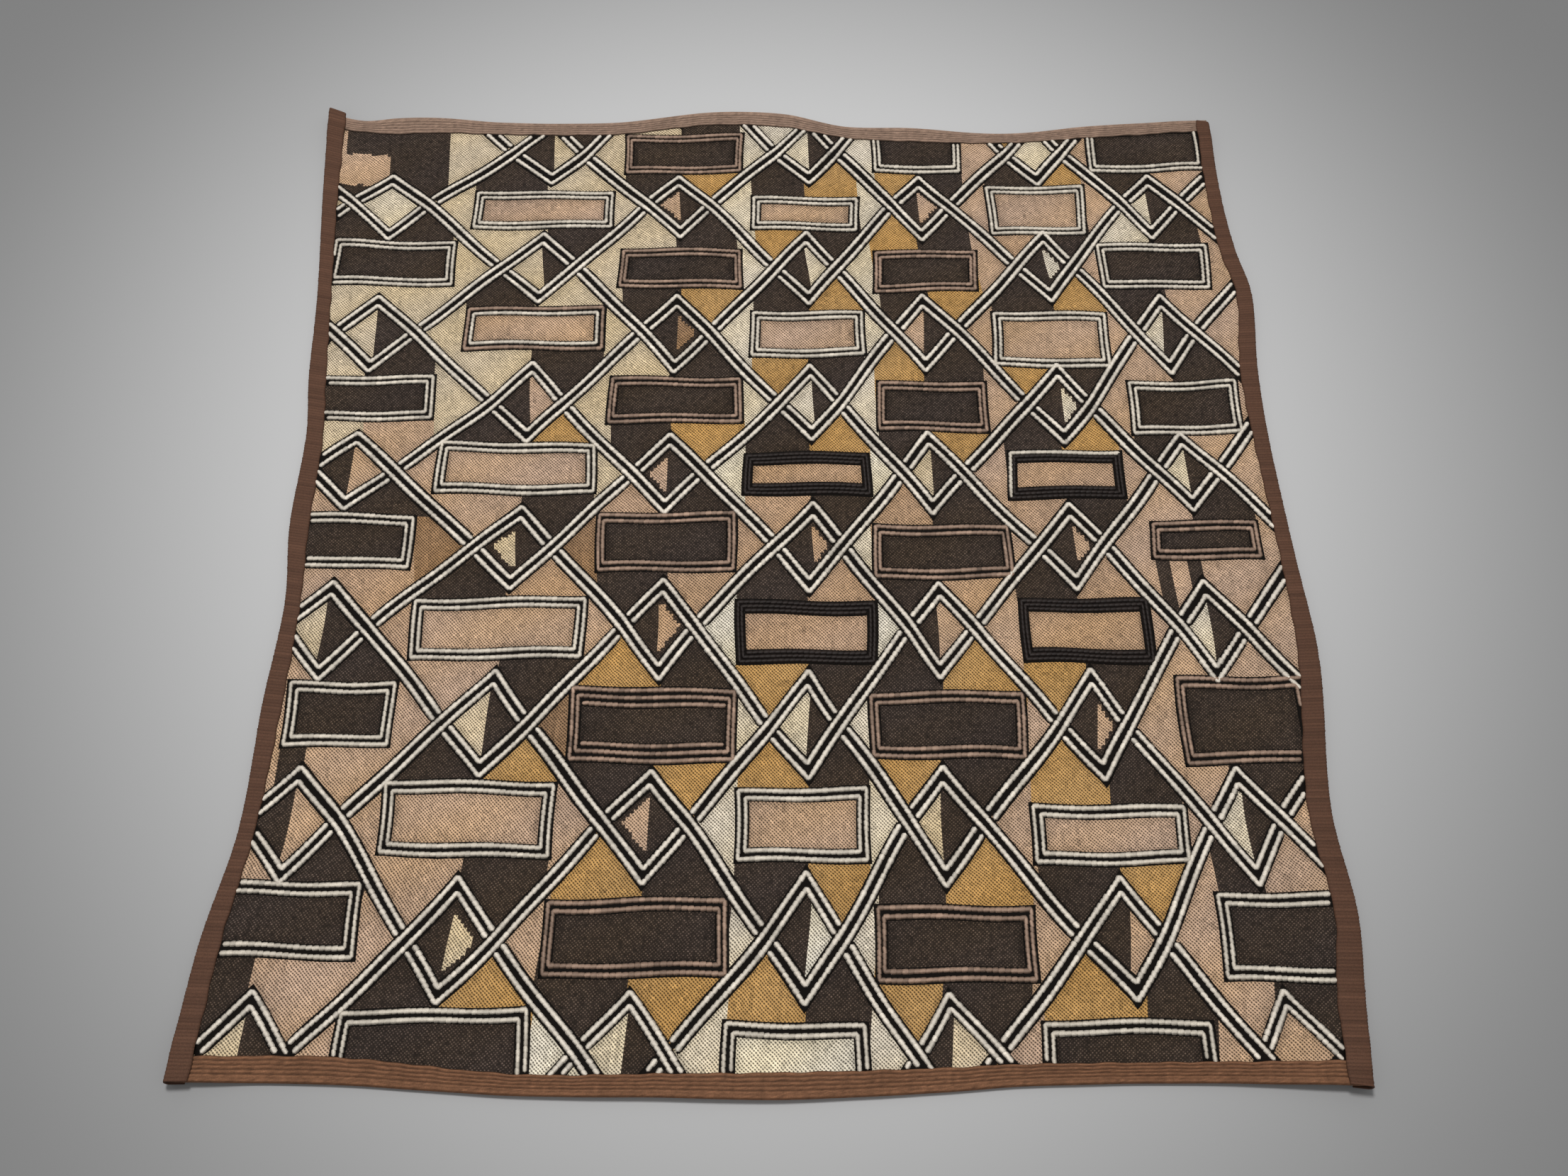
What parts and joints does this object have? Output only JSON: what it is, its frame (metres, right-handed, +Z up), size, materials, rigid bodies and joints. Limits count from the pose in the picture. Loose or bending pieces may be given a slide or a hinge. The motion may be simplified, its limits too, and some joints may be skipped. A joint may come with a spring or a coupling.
{
  "type": "kuba raffia cloth",
  "caption": "Rectangular embroidered raffia cloth lying flat, with folded ribbed strips sewn round its edges.",
  "frame": {"origin": "on the surface it lies on, under the middle of the cloth's bounding box", "axes": "+X along the width towards the right edge, +Y along the length towards the top edge, +Z up, out of the embroidered face"},
  "size_m": [0.582, 0.6286, 0.0089],
  "materials": {
    "panel": "matt woven raffia with dark and light raffia embroidery",
    "binding": "matt brown ribbed raffia"
  },
  "bodies": {
    "root": {"panel": "panel", "binding_top": "binding", "binding_bottom": "binding", "binding_left": "binding", "binding_right": "binding"}
  },
  "joints": []
}
